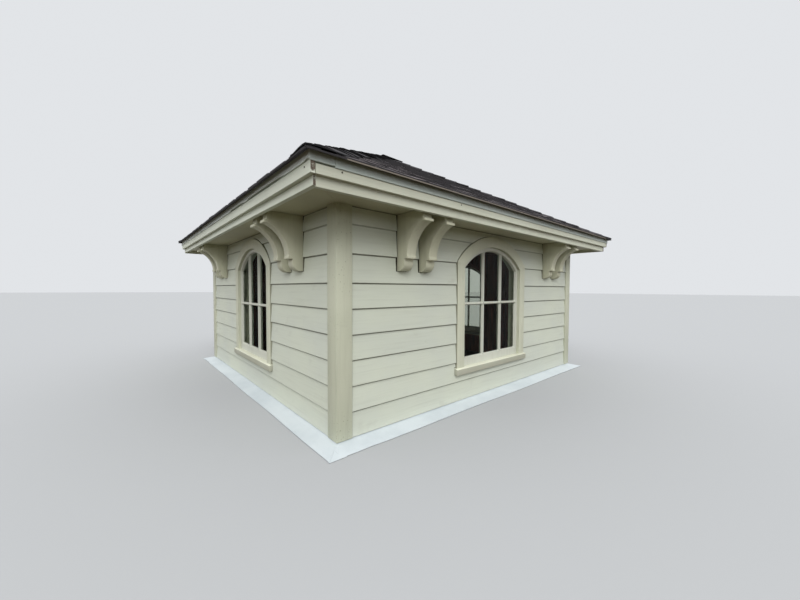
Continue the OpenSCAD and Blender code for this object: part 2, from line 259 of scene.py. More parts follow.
class Stock:
    """Boards, sheets or shingles gathered into one piece. They are drawn on the front face, and each face
    of their meshes has a tone, may be bare and may carry painted shade, which on shingles shows as a tan
    edge."""

    def __init__(self):
        self.points = []
        self.faces = []
        self.marks = {"tone": [], "bare": [], "grime": []}

    def add(self, points, faces, tone=0.0, bare=(), grime=None):
        first = len(self.points)
        self.points += [tuple(p) for p in points]
        self.faces += [[first + i for i in face] for face in faces]
        self.marks["tone"] += [tone] * len(faces)
        self.marks["bare"] += [1.0 if i in bare else 0.0 for i in range(len(faces))]
        self.marks["grime"] += [(grime or {}).get(i, 0.0) for i in range(len(faces))]

    def bar(self, points, count, tone=0.0, bare=(), grime=None):
        """A closed bar through rings of so many points. Its faces are its two ends and then its sides, ring
        by ring. bare has the numbers of the bare ones. grime gives the share of painted shade on the sides
        after some points of a ring; on shingles that share makes a tan edge."""
        last = len(points) // count - 1
        faces = [list(range(count)), list(range(last * count, (last + 1) * count))]
        for i in range(last):
            for j in range(count):
                k = (j + 1) % count
                faces.append([i * count + j, i * count + k, (i + 1) * count + k, (i + 1) * count + j])
        shade_and_tan_faces = {2 + i * count + j: share for i in range(last) for j, share in (grime or {}).items()}
        self.add(points, faces, tone, bare, shade_and_tan_faces)

    def run(self, profile, start, end, stations=1, sway=None, **marks):
        """A length of board with a closed profile of distance and height. start and end are its ends' places
        along the face, or functions of the distance. sway moves each station's profile out and up."""
        places = [e if callable(e) else (lambda r, e=e: e) for e in (start, end)]
        points = []
        for i in range(stations + 1):
            share = i / stations
            for r, z in profile:
                x = places[0](r) + (places[1](r) - places[0](r)) * share
                out, up = sway(x, r, z) if sway else (0.0, 0.0)
                points.append((x, -(r + out), z + up))
        self.bar(points, len(profile), **marks)

    def loft(self, profile, path, **marks):
        """A moulding that follows a path. Its profile has margins and distances, and path takes a margin."""
        points = []
        for ring in zip(*[path(margin) for margin, _ in profile]):
            points += [(x, -r, z) for (x, z), (_, r) in zip(ring, profile)]
        self.bar(points, len(profile), **marks)

    def plate(self, outline, near, far):
        """A flat plate with an outline of X and Z between two distances from the middle"""
        self.bar([(x, -r, z) for r in (near, far) for x, z in outline], len(outline))

    def piece(self, name, number=0):
        """The stock as one object with its faces outwards, turned to its face of the building"""
        mesh = bpy.data.meshes.new(name)
        mesh.from_pydata(self.points, [], self.faces)
        for mark, values in self.marks.items():
            mesh.attributes.new(mark, "FLOAT", "FACE").data.foreach_set("value", values)
        work = bmesh.new()
        work.from_mesh(mesh)
        bmesh.ops.recalc_face_normals(work, faces=work.faces)
        work.to_mesh(mesh)
        work.free()
        return turned(stand(name, mesh), number)


def plain(piece):
    """The piece with its modifiers worked into its mesh"""
    evaluated = piece.evaluated_get(bpy.context.evaluated_depsgraph_get())
    mesh = bpy.data.meshes.new_from_object(evaluated)
    piece.modifiers.clear()
    piece.data = mesh
    return piece


def cut(piece, cutter):
    """Takes the cutter's solids out of the piece, and removes the cutter"""
    modifier = piece.modifiers.new("cut", "BOOLEAN")
    modifier.operation = "DIFFERENCE"
    modifier.solver = "EXACT"
    modifier.use_self = True
    modifier.object = cutter
    plain(piece)
    bpy.data.objects.remove(cutter)
    return piece


def fit(piece, material, slot, *nodes):
    """Gives a finished piece its material and its body, and hides the frame nodes that it stands for. slot is
    not used.
    """
    coat(piece, material)
    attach(piece, "root")
    if nodes:
        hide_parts(*nodes)


def stained_boards():
    finish = Finish("dark_red_brown_stain", 0.5)
    lines = finish.noise(UPRIGHT_GRAIN, 4.0)
    stain = finish.blend((128, 66, 50), (56, 29, 23), finish.fade(lines, 0.35, 0.65))
    finish.colour(finish.toned(stain, 0.7, 1.25))
    finish.relief(lines, 0.0006)
    return finish.material


def grown(name, tree, inputs, material):
    """The plain mesh that a tree of geometry nodes makes from nothing but its inputs"""
    sockets = {s.name: s.identifier for s in tree.interface.items_tree if s.in_out == "INPUT"}
    piece = stand(name, bpy.data.meshes.new(name))
    modifier = piece.modifiers.new("grown", "NODES")
    modifier.node_group = tree
    for key, value in {**inputs, "Material": material}.items():
        modifier[sockets[key]] = value
    return plain(piece)


def new_tree(name, inputs):
    """A tree of geometry nodes with named inputs, the sockets that give them, and its adder"""
    tree = bpy.data.node_groups.new(name, "GeometryNodeTree")
    for key, kind in {**inputs, "Material": "Material"}.items():
        tree.interface.new_socket(name=key, in_out="INPUT", socket_type="NodeSocket" + kind)
    tree.interface.new_socket(name="Geometry", in_out="OUTPUT", socket_type="NodeSocketGeometry")
    return tree, tree.nodes.new("NodeGroupInput").outputs, adder(tree)


def spaced(given, add):
    """So many points from the first one, a step apart"""
    sockets = {"Count": given["Count"], "Start Location": given["First"], "Offset": given["Step"]}
    return add("GeometryNodeMeshLine", sockets).outputs[0]


def end_tree(tree, given, add, sockets):
    """Ends a tree: the copies at its points get a random tone, become real meshes and get their material"""
    copies = add("GeometryNodeInstanceOnPoints", sockets).outputs[0]
    tone = add("FunctionNodeRandomValue", {2: -1.0, 3: 1.0, "Seed": TONE_SEED}, data_type="FLOAT")
    sockets = {"Geometry": copies, "Name": "tone", "Value": tone.outputs[1]}
    stored = add("GeometryNodeStoreNamedAttribute", sockets, data_type="FLOAT", domain="INSTANCE")
    real = add("GeometryNodeRealizeInstances", {"Geometry": stored.outputs[0]})
    coated = add("GeometryNodeSetMaterial", {"Geometry": real.outputs[0], "Material": given["Material"]})
    tree.links.new(coated.outputs[0], tree.nodes.new("NodeGroupOutput").inputs[0])
    return tree


def slat_tree():
    """Equal boards side by side, each centred on its own place"""
    inputs = {"Count": "Int", "First": "Vector", "Step": "Vector", "Size": "Vector"}
    tree, given, add = new_tree("slats", inputs)
    board = add("GeometryNodeMeshCube", {"Size": given["Size"]}).outputs[0]
    return end_tree(tree, given, add, {"Points": spaced(given, add), "Instance": board})


slats = slat_tree()
stain = stained_boards()
board_count = round(2 * room_half / LINING_BOARD)
board_step = 2 * room_half / board_count
first_board = -room_half + board_step / 2
lining_t = stud_half - room_half
for number, face in enumerate(FACES):
    sizes = {"Count": board_count, "First": (first_board, -room_half - lining_t / 2, soffit_z / 2),
             "Step": (board_step, 0.0, 0.0), "Size": (board_step - LINING_GROOVE, lining_t, soffit_z)}
    boards = grown("lining_" + face, slats, sizes, stain)
    hole = Stock()
    hole.plate(arch_path(JAMB_T, frame_bottom), room_half - CUT_PAST, stud_half + CUT_PAST)
    cut(boards, hole.piece("hole"))
    fit(turned(boards, number), stain, "dark_boards", "interior_lining")
ceiling_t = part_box("ceiling")[1].z - soffit_z
sizes = {"Count": board_count, "First": (0.0, first_board, soffit_z + ceiling_t / 2),
         "Step": (0.0, board_step, 0.0), "Size": (2 * stud_half, board_step - LINING_GROOVE, ceiling_t)}
fit(grown("ceiling_boards", slats, sizes, stain), stain, "dark_boards", "ceiling")

# Flashing
# Bent white sheet metal round the foot: an upstand behind the siding and an apron that falls outwards.
# At each corner one sheet is folded round and the next laps over it with a short slanting end.
METAL_T = 0.0016
SHEET_T = METAL_T * 0.6
BEND_Z = 0.03
BEND = ((0.0, 0.012), (0.0015, 0.005), (0.006, 0.001))
HEM = ((-0.001, 0.0), (-0.009, 0.0004))
LAP_MITRE = 0.45
LAP_SETBACK = 0.075
LAP_COVER = 0.03
UNDER_LAP = 0.0006
apron_half = -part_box("front_flashing")[0].y
upstand_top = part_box("front_flashing")[1].z
upstand_half = sheath_half + 0.002
knee = upstand_half + LAP_MITRE * (apron_half - upstand_half)


def white_sheet():
    finish = Finish("white_coil_coated_sheet", 0.38)
    patches = finish.noise((3.0, 3.0, 3.0))
    dust = finish.noise((60.0, 60.0, 60.0), 4.0)
    white = finish.blend((204, 212, 216), (191, 200, 205), finish.fade(patches, 0.4, 0.65))
    finish.colour(finish.blend(white, (176, 182, 180), finish.fade(dust, 0.62, 0.8, 0.0, 0.35)))
    finish.relief(finish.noise((9.0, 9.0, 9.0), 2.0), 0.002, 0.4)
    return finish.material


def apron_z(r):
    """The height of the apron's underside at a distance from the middle"""
    return BEND_Z * (apron_half - r) / (apron_half - sheath_half)


def bent_sheet(seed):
    """One length of flashing on the front face, from its lap at the left corner to the right corner. The
    metal swells between its nails, and its outer edge is wavy, with one dent."""
    draw = random.Random(seed)
    waves = [(draw.uniform(2.0, 6.5), draw.uniform(0, 6.3), draw.uniform(0.2, 0.6)) for _ in range(4)]
    on_apron = (upstand_half + 0.02, knee, knee + 0.02, knee + 0.04, apron_half - 0.014, apron_half)
    rows = [(upstand_half, upstand_top)] + [(upstand_half + out, BEND_Z + up) for out, up in BEND]
    rows += [(r, apron_z(r) + METAL_T) for r in on_apron]
    rows += [(apron_half + out, z) for out, z in HEM]

    def left(r):
        return -min(r, knee) + max(r - knee, 0.0) * (LAP_SETBACK - (apron_half - knee)) / (apron_half - knee)

    def swell(x, r):
        share = max(r - upstand_half, 0.0) / (apron_half - upstand_half)
        wave = sum(a * math.sin(f * x + p) for f, p, a in waves)
        return share**2 * 0.0016 * (1.0 + wave)

    def pull(x, r):
        dent = math.exp(-((x - left(apron_half) - 0.2) / 0.05) ** 2)
        wave = 0.0025 * (1 + math.sin(5.3 * x + waves[0][1])) + 0.004 * dent
        return wave * max(0.0, (r - knee) / (apron_half - knee))

    columns = 90
    points = []
    for r, z in rows:
        for i in range(columns + 1):
            x = left(r) + (r - left(r)) * i / columns
            pulled = pull(x, r) if i < columns else 0.0
            points.append((x, -(r - pulled), z + (swell(x, r) if z > 0.001 else 0.0)))
    wide = columns + 1
    faces = [[j * wide + i, j * wide + i + 1, (j + 1) * wide + i + 1, (j + 1) * wide + i]
             for j in range(len(rows) - 1) for i in range(columns)]
    sheet = Stock()
    sheet.add(points, faces)
    return sheet


def fold_round_corner(sheet):
    """Adds the end that a sheet folds round the corner on its right, under the next sheet's lap"""
    outline = [(-knee + 0.01, knee - 0.01), (-knee, knee), (-apron_half, apron_half),
               (-apron_half + LAP_SETBACK + LAP_COVER, apron_half), (-knee + LAP_COVER, knee - 0.01)]
    sheet.add([(r, x, apron_z(r) + UNDER_LAP) for x, r in outline], [[4, 3, 2, 1, 0]])


def smooth(piece, angle=30.0):
    piece.data.polygons.foreach_set("use_smooth", [True] * len(piece.data.polygons))
    piece.data.set_sharp_from_angle(angle=math.radians(angle))
    return piece


white_metal = white_sheet()
for number, face in enumerate(FACES):
    sheet = bent_sheet(11 + number)
    fold_round_corner(sheet)
    piece = sheet.piece("flashing_" + face)
    modifier = piece.modifiers.new("metal", "SOLIDIFY")
    modifier.thickness = SHEET_T
    modifier.offset = 0.0
    plain(piece)
    for vertex in piece.data.vertices:
        vertex.co.z = max(vertex.co.z, 0.0)
    fit(smooth(turned(piece, number), 25), white_metal, "flashing", face + "_flashing")

# Lap siding
# Tapered softwood boards nailed one over the other, with thick lower edges that throw a shadow line.
# They stop at the corner boards and are cut round the casing, the sill's ears and the brackets.
EXPOSURE = 0.1455
WIDE_EXPOSURE = 0.163
LAP_BUTT = 0.0195
LAP_FACE = 0.009
LAP_COVERED = 0.028
# Painted shade under each board's lower edge: the strip's height, how dark it is, and less at the top board
LAP_SHADE_BAND = 0.007
LAP_SHADE = 0.7
TOP_LAP_SHADE = 0.45
LAP_WAVE = 0.0006
LAP_BOW = 0.0004
LAP_CLEAR = 0.0003
FIRST_CLEAR = 0.0025
TOP_CLEAR = 0.0006
LAP_STATIONS = 40
BOARD_GAP = 0.0025
CASING_GAP = 0.0045
BRACKET_GAP = 0.003
TAIL_GAP = 0.007
NAIL_EVERY = 0.4
NAILS_ASIDE = 3
NAIL_STRAY = (0.012, 0.004)
NAIL_RISE = 0.042
NAIL_HEAD = 0.0036
HEAD_T = 0.0016
NAIL_CLEAR = 0.02
BRACKET_CLEAR = 0.03
HOLE_IN = 0.01
HOLE_OUT = 0.05
siding_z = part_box("front_siding")[0].z
trim_half = -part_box("front_left_corner_board")[0].y
corner_w = trim_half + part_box("front_left_corner_board")[1].x
bracket_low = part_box("front_brackets")[0].z
sill_low, sill_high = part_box("front_sill")
sill_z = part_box("front_window_frame")[0].z
regular_boards = int((soffit_z - siding_z - 2.5 * WIDE_EXPOSURE) / EXPOSURE)
lap_edges = [siding_z + i * EXPOSURE for i in range(regular_boards + 1)]
while lap_edges[-1] + WIDE_EXPOSURE < soffit_z - WIDE_EXPOSURE / 4:
    lap_edges.append(lap_edges[-1] + WIDE_EXPOSURE)
lap_edges.append(soffit_z)
top_board = len(lap_edges) - 2
tail_lap = next(edge for edge in lap_edges if edge > bracket_low) - LAP_SHADE_BAND / 2


def painted_wood(name, cream, shade, grain, worn, knots, mildew=0.0, dirt_and_shade=0.0, roughness=0.58):
    """Weathered paint over wood: two close tones, grain and brush lines along the board, grey knots that
    show through, dots of mildew, rain streaks, painted shade where a piece is marked with it, and bare brown
    wood where it is marked as bare"""
    finish = Finish(name, roughness)
    lines = finish.noise(grain, 4.0, 0.65)
    broad = finish.noise((1.7, 1.7, 2.3), 2.0)
    fine = finish.noise((420.0, 420.0, 420.0), 2.0)
    paint = finish.blend(cream, shade, finish.fade(broad, 0.38, 0.66))
    paint = finish.blend(paint, (150, 150, 136), finish.fade(lines, 0.5, 0.78, 0.0, worn))
    knot = finish.fade(finish.noise((5.5, 5.5, 8.0), 3.0), 0.63, 0.72, 0.0, knots)
    paint = finish.blend(paint, (152, 150, 140), knot)
    if dirt_and_shade:
        streak = finish.fade(finish.noise((22.0, 22.0, 1.6), 4.0), 0.52, 0.8, 0.0, dirt_and_shade)
        paint = finish.blend(paint, (142, 142, 122), streak)
    if mildew:
        spots = finish.fade(finish.dots((62.0, 62.0, 62.0)), 0.10, 0.19, mildew, 0.0)
        damp = finish.fade(finish.noise((7.0, 7.0, 7.0), 2.0), 0.46, 0.62)
        paint = finish.blend(paint, (118, 116, 92), finish.sum(spots, damp, "MULTIPLY"))
    paint = finish.toned(paint, 0.96, 1.04)
    # Marked faces take a dark olive here as painted shade
    paint = finish.blend(paint, (96, 94, 78), finish.marked("grime"))
    streaky = finish.fade(finish.noise((160.0, 160.0, 24.0), 3.0), 0.4, 0.6)
    bare = finish.blend((116, 102, 88), (77, 66, 55), streaky)
    flaked = finish.fade(finish.noise((55.0, 55.0, 55.0), 2.0), 0.3, 0.46)
    finish.colour(finish.blend(paint, bare, finish.sum(flaked, finish.marked("bare"), "MULTIPLY")))
    finish.relief(finish.sum(lines, finish.sum(fine, 0.15, "MULTIPLY")), 0.0009, 0.7)
    return finish.material


def on_front(face, what):
    """The points of one face's frame solid, turned to the front face"""
    back = Matrix.Rotation(-FACES.index(face) * math.pi / 2, 3, "Z")
    return [back @ v.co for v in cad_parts[face + "_" + what].data.vertices]


def bracket_places(face):
    """Where the two pairs of brackets stand along a face, read from the frame's own solids"""
    sides = []
    for x in sorted(round(p.x, 4) for p in on_front(face, "brackets")):
        if not sides or x - sides[-1] > 0.01:
            sides.append(x)
    return list(zip(sides[::2], sides[1::2]))


def lap_board(stock, i, draw):
    """Board number i of a face, counted from the bottom, with painted shade on the underside of its lower
    edge and in a strip where the next one overhangs it. It is never quite straight or level."""
    low, high = lap_edges[i], lap_edges[i + 1]
    top = high + (LAP_COVERED if i < top_board else 0.0)
    taper = (LAP_BUTT - LAP_FACE) / (high - low)
    back = LAP_FACE + LAP_CLEAR if i else FIRST_CLEAR
    butt = sheath_half + LAP_BUTT
    shade_z = high - LAP_SHADE_BAND
    profile = [(sheath_half + back, low), (butt - 0.0018, low), (butt, low + 0.002),
               (butt - taper * (shade_z - low), shade_z), (butt - taper * (top - low), top),
               (sheath_half + TOP_CLEAR, top)]
    waves = [(draw.uniform(1.0, 4.0), draw.uniform(0, 6.3)) for _ in range(2)]
    level = draw.uniform(-LAP_WAVE, LAP_WAVE) if i else 0.0

    def sway(x, r, z):
        wave = math.sin(waves[0][0] * x + waves[0][1])
        up = (level + LAP_WAVE * wave) if z < low + 0.01 and i else 0.0
        out = LAP_BOW * (1 + math.sin(waves[1][0] * x + waves[1][1])) if r > sheath_half + LAP_FACE else 0.0
        return out, up

    end = trim_half - corner_w - BOARD_GAP
    ends = (-end + draw.uniform(0, 0.001), end - draw.uniform(0, 0.001))
    dirt_and_shade = {0: TOP_LAP_SHADE if i == top_board else LAP_SHADE,
            3: TOP_LAP_SHADE if i == top_board - 1 else LAP_SHADE}
    stock.run(profile, *ends, LAP_STATIONS, sway, tone=draw.uniform(-1, 1), grime=dirt_and_shade)


def nail_places(face, draw):
    """Where the siding is nailed to the studs: over each board's lower edge, clear of all trim"""
    free = [(left - BRACKET_CLEAR, right + BRACKET_CLEAR) for left, right in bracket_places(face)]
    arch = arch_radius + CASING_W + NAIL_CLEAR
    places = []
    for low, high in zip(lap_edges, lap_edges[1:]):
        z = low + NAIL_RISE
        r = sheath_half + LAP_BUTT - (LAP_BUTT - LAP_FACE) / (high - low) * NAIL_RISE
        for i in range(-NAILS_ASIDE, NAILS_ASIDE + 1):
            x = i * NAIL_EVERY + draw.uniform(-NAIL_STRAY[0], NAIL_STRAY[0])
            over_window = math.hypot(x, z - arch_centre) < arch or z < arch_centre
            at_window = abs(x) < sill_high.x + NAIL_CLEAR and over_window and z > sill_low.z - NAIL_CLEAR
            at_bracket = z > bracket_low - NAIL_CLEAR and any(a < x < b for a, b in free)
            if not at_window and not at_bracket:
                places.append((x, -r, z + draw.uniform(-NAIL_STRAY[1], NAIL_STRAY[1])))
    return places


def nail_tree():
    """Flat painted nail heads at given places on the front face"""
    tree, given, add = new_tree("nails", {"Places": "Object", "Head": "Float"})
    places = add("GeometryNodeObjectInfo", {"Object": given["Places"]}).outputs["Geometry"]
    sizes = {"Vertices": 8, "Radius": given["Head"], "Depth": HEAD_T}
    head = add("GeometryNodeMeshCylinder", sizes).outputs[0]
    facing = (math.pi / 2, 0.0, 0.0)
    return end_tree(tree, given, add, {"Points": places, "Instance": head, "Rotation": facing})


nails = nail_tree()


def nailed(name, places, head, material, number):
    """Nail heads at places on the front face, turned to their face of the building"""
    mesh = bpy.data.meshes.new("nail_places")
    mesh.from_pydata(places, [], [])
    marks = stand("nail_places", mesh)
    heads = grown(name, nails, {"Places": marks, "Head": head}, material)
    bpy.data.objects.remove(marks)
    return turned(heads, number)


def slab_cut(stock, left, right, low, high):
    """A block that cuts a square hole through the siding"""
    outline = [(left, low), (right, low), (right, high), (left, high)]
    stock.plate(outline, sheath_half - HOLE_IN, trim_half + HOLE_OUT)


siding_paint = painted_wood("siding_paint", (201, 206, 191), (195, 200, 189), LEVEL_GRAIN,
                            worn=0.2, knots=0.12)
for number, face in enumerate(FACES):
    draw = random.Random(40 + number)
    boards = Stock()
    for i in range(top_board + 1):
        lap_board(boards, i, draw)
    holes = Stock()
    outline = arch_path(CASING_W + CASING_GAP, sill_z)
    holes.plate(outline, sheath_half - HOLE_IN - 0.001, trim_half + HOLE_OUT + 0.001)
    sill_end = sill_high.x + BOARD_GAP
    slab_cut(holes, -sill_end, sill_end, sill_low.z - BOARD_GAP, sill_z + 0.01)
    for left, right in bracket_places(face):
        slab_cut(holes, left - BRACKET_GAP, right + BRACKET_GAP, bracket_low - BOARD_GAP, soffit_z + 0.1)
        slab_cut(holes, left - TAIL_GAP, right + TAIL_GAP, bracket_low - BOARD_GAP, tail_lap)
    piece = cut(boards.piece("siding_" + face), holes.piece("holes"))
    fit(turned(piece, number), siding_paint, "lap_siding", face + "_siding")
    heads = nailed("siding_nails_" + face, nail_places(face, draw), NAIL_HEAD, siding_paint, number)
    fit(heads, siding_paint, "lap_siding")

# Corner boards
# Boards nailed along each corner of the walls, with eased arrises, in paint that has yellowed and carries
# dots of mildew.
CORNER_EASE = 0.0025
WELD_WITHIN = 0.00002
FLAT_WITHIN = math.radians(0.5)
EASE_OVER = math.radians(35)
corner_paint = painted_wood("corner_board_paint", (194, 196, 176), (186, 189, 168), UPRIGHT_GRAIN,
                            worn=0.25, knots=0.2, mildew=0.75, dirt_and_shade=0.25)


def bare_copy(node, name):
    """A copy of a frame solid whose loose triangles are merged into whole faces"""
    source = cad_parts[node].data
    mesh = bpy.data.meshes.new(name)
    mesh.from_pydata([v.co for v in source.vertices], [], [list(p.vertices) for p in source.polygons])
    work = bmesh.new()
    work.from_mesh(mesh)
    bmesh.ops.remove_doubles(work, verts=work.verts, dist=WELD_WITHIN)
    bmesh.ops.dissolve_limit(work, angle_limit=FLAT_WITHIN, verts=work.verts, edges=work.edges)
    work.to_mesh(mesh)
    work.free()
    return stand(name, mesh)


def eased(piece, width, segments=2):
    """Takes the sharp arrises off a piece, as sandpaper and paint do"""
    modifier = piece.modifiers.new("arrises", "BEVEL")
    modifier.width = width
    modifier.segments = segments
    modifier.limit_method = "ANGLE"
    modifier.angle_limit = EASE_OVER
    return smooth(plain(piece))


for corner in ("front_left", "front_right", "back_right", "back_left"):
    node = corner + "_corner_board"
    fit(eased(bare_copy(node, "board_of_" + node), CORNER_EASE), corner_paint, "trim", node)

# Window casings and frames
# A flat casing of two uprights and an arched head nailed over the sheathing, round a frame of boards that
# lines the opening through to the room. Painted shade lies on the casing's outer side faces.
JOINT = 0.0006
EASE = 0.002
CASING_LAP = 0.0005
# The share of painted shade on the casing's outer side face
OUTER_SIDE_SHADE = {0: 0.6}
ARCH_STEPS = 40
casing_profile = [(CASING_W, sheath_half), (CASING_W, trim_half - EASE),
                  (CASING_W - EASE * 0.3, trim_half - EASE * 0.3), (CASING_W - EASE, trim_half),
                  (EASE, trim_half), (EASE * 0.3, trim_half - EASE * 0.3), (CASING_LAP, trim_half - EASE),
                  (CASING_LAP, sheath_half + 0.0004)]
jamb_profile = [(JAMB_T, room_half), (JAMB_T, sheath_half), (0.001, sheath_half), (0.0, sheath_half - 0.001),
                (0.0, room_half)]
trim_paint = painted_wood("trim_paint", (201, 203, 183), (193, 195, 175), UPRIGHT_GRAIN, worn=0.2, knots=0.12)


def head_path(margin):
    """The path of the casing's arched head"""
    return arch_path(margin, None, ARCH_STEPS)


def upright_path(side):
    """The path of one upright of the casing, from the sill to the head's joint"""
    def path(margin):
        x, z = arch_path(margin, None)[0]
        return [(side * -x, sill_z), (side * -x, z - JOINT)]
    return path


for number, face in enumerate(FACES):
    window = Stock()
    for path, tone in ((head_path, 0.3), (upright_path(-1), -0.5), (upright_path(1), 0.1)):
        window.loft(casing_profile, path, tone=tone, grime=OUTER_SIDE_SHADE)
    window.loft(jamb_profile, lambda margin: arch_path(margin, sill_z, ARCH_STEPS), tone=-0.2)
    piece = window.piece("casing_" + face, number)
    fit(smooth(piece, 25), trim_paint, "trim", face + "_window_frame")

# Sills
# A thick board under each window, with ears that run past the casing. Its paint is lighter than the
# # trim's, as painted light on its top, and the faces that don't look upwards carry painted shade.
SILL_EASE = 0.003
# How dark the painted shade is on the faces that don't look upwards
SILL_SHADE = 0.49
# The paint is lighter than the trim's, as painted light on the sill's top
sill_paint = painted_wood("sill_paint", (220, 221, 203), (212, 213, 193), LEVEL_GRAIN, worn=0.25, knots=0.12)


def shaded_off_top(piece, share):
    """Marks the faces of a piece that don't look upwards with painted shade"""
    dirt_and_shade = [share if face.normal.z < 0.5 else 0.0 for face in piece.data.polygons]
    piece.data.attributes.new("grime", "FLOAT", "FACE").data.foreach_set("value", dirt_and_shade)
    return piece


for face in FACES:
    piece = eased(bare_copy(face + "_sill", "sill_of_" + face), SILL_EASE, 3)
    fit(shaded_off_top(piece, SILL_SHADE), sill_paint, "trim", face + "_sill")

# Sashes
# Fixed sashes of rails, stiles and an arched head, with glazing bars let into them. Outside, each pane is
# bedded in a sloping fillet of putty, and inside the bars are moulded.
STILE_W = 0.034
RAIL_H = 0.066
SASH_GAP = 0.002
SILL_GAP = 0.0005
BAR_W = 0.023
BAR_NOSE = 0.009
PUTTY_DEPTH = 0.0165
REBATE = 0.005
RAIL_LET_IN = 0.01
BAR_LET_IN = 0.008
BAR_UNDER_HEAD = 0.006
sash_face = -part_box("front_sash")[0].y
sash_back = -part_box("front_sash")[1].y
pane_half = clear_half - STILE_W
bar_x = (2 * pane_half + BAR_W) / 6
bar_top = arch_centre + math.sqrt((arch_radius - STILE_W) ** 2 - bar_x**2) + BAR_UNDER_HEAD
putty_r = sash_face - PUTTY_DEPTH
putty_w = (BAR_W - BAR_NOSE) / 2
rail_z = sill_z + SILL_GAP
rail_top = sill_z + RAIL_H
sash_paint = painted_wood("sash_paint", (202, 204, 192), (192, 194, 182), UPRIGHT_GRAIN,
                          worn=0.2, knots=0.1, dirt_and_shade=0.2, roughness=0.5)


def cross_bar_height(face):
    """The height of a sash's cross bar: the top of its lower panes and half a bar"""
    levels = sorted({round(p.z, 4) for p in on_front(face, "glass") if abs(p.x) < bar_x})
    return levels[1] + BAR_W / 2


def bar_profile(half):
    """Half widths and distances across a glazing bar, from its nose to its moulded back"""
    right = [(half - putty_w, sash_face), (half, putty_r), (half, putty_r - REBATE),
             (half - 0.004, sash_back + 0.004), (half - 0.005, sash_back)]
    return right + [(-w, r) for w, r in reversed(right)]


def sash_members(face):
    sash = Stock()
    stile = [(-SASH_GAP, sash_back), (-SASH_GAP, sash_face - 0.001), (-SASH_GAP - 0.001, sash_face),
             (-STILE_W + putty_w, sash_face), (-STILE_W, putty_r), (-STILE_W, putty_r - REBATE),
             (-STILE_W + 0.005, sash_back)]
    sash.loft(stile, lambda margin: arch_path(margin, rail_z, ARCH_STEPS), tone=0.4)
    rail = [(sash_back, rail_z), (sash_face, rail_z), (sash_face, rail_top - putty_w), (putty_r, rail_top),
            (putty_r - REBATE, rail_top), (sash_back, rail_top - 0.005)]
    sash.run(rail, -pane_half - RAIL_LET_IN, pane_half + RAIL_LET_IN, tone=0.9)
    bar = bar_profile(BAR_W / 2)
    for side in (-1, 1):
        points = [(side * bar_x + w, -r, z) for z in (rail_top - BAR_LET_IN, bar_top) for w, r in bar]
        sash.bar(points, len(bar), tone=side * 0.3)
    cross_z = cross_bar_height(face)
    cross_bar = [(r, cross_z + w) for w, r in bar]
    sash.run(cross_bar, -pane_half - BAR_LET_IN, pane_half + BAR_LET_IN, tone=0.6)
    return sash


for number, face in enumerate(FACES):
    piece = sash_members(face).piece("sash_of_" + face, number)
    fit(smooth(piece, 20), sash_paint, "sash", face + "_sash")

# Glass
# Thin old window glass in six panes a sash, slightly wavy and a little grey. The left window's panes are
# dull and mirror next to nothing.
CLEAR_GLOSS = 1.09
DULL_GLOSS = 1.015


def window_glass(name, gloss):
    finish = Finish(name, 0.0)
    finish.shade("Transmission Weight", 1.0)
    finish.shade("IOR", gloss)
    finish.colour((212, 216, 208))
    finish.relief(finish.noise((4.0, 4.0, 2.5), 1.0), 0.0015, 0.15)
    return finish.material


clear_glass = window_glass("window_glass", CLEAR_GLOSS)
dull_glass = window_glass("dull_window_glass", DULL_GLOSS)
for face in FACES:
    coat(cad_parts[face + "_glass"], dull_glass if face == "left" else clear_glass)

# Brackets
# Thick sawn planks with a hollow front between two square beads and a toe that rounds back under the lower
# one, set in pairs against the wall and nailed up under the soffit, where an open joint shows.
HOLLOW_R = 0.205
HOLLOW_DROP = 0.260
WAIST_OUT = 0.080
TAIL_OUT = 0.057
NOSE_BEAD = 0.016
TOE_R = 0.053
PLANED_OFF = 0.003
PLANK_EASE = 0.0025
SOFFIT_JOINT = 0.0025
WALL_JOINT = 0.0125
JOINT_PROUD = 0.0006
TOE_STEPS = 10
HOLLOW_STEPS = 24
bracket_top = soffit_z - SOFFIT_JOINT
joint_out = sheath_half + WALL_JOINT
joint_outline = [(sheath_half, bracket_low), (joint_out, bracket_low), (joint_out, bracket_top),
                 (sheath_half, bracket_top)]
bracket_paint = painted_wood("bracket_paint", (199, 199, 177), (188, 188, 164), UPRIGHT_GRAIN,
                             worn=0.2, knots=0.12, mildew=0.2, dirt_and_shade=0.25)
# A dark strip in each joint between bracket and wall, as painted shade in the gap beside the siding
painted_joint_shade = bare_timber("painted_shade_in_bracket_joints", (58, 52, 40), (40, 36, 28), UPRIGHT_GRAIN)


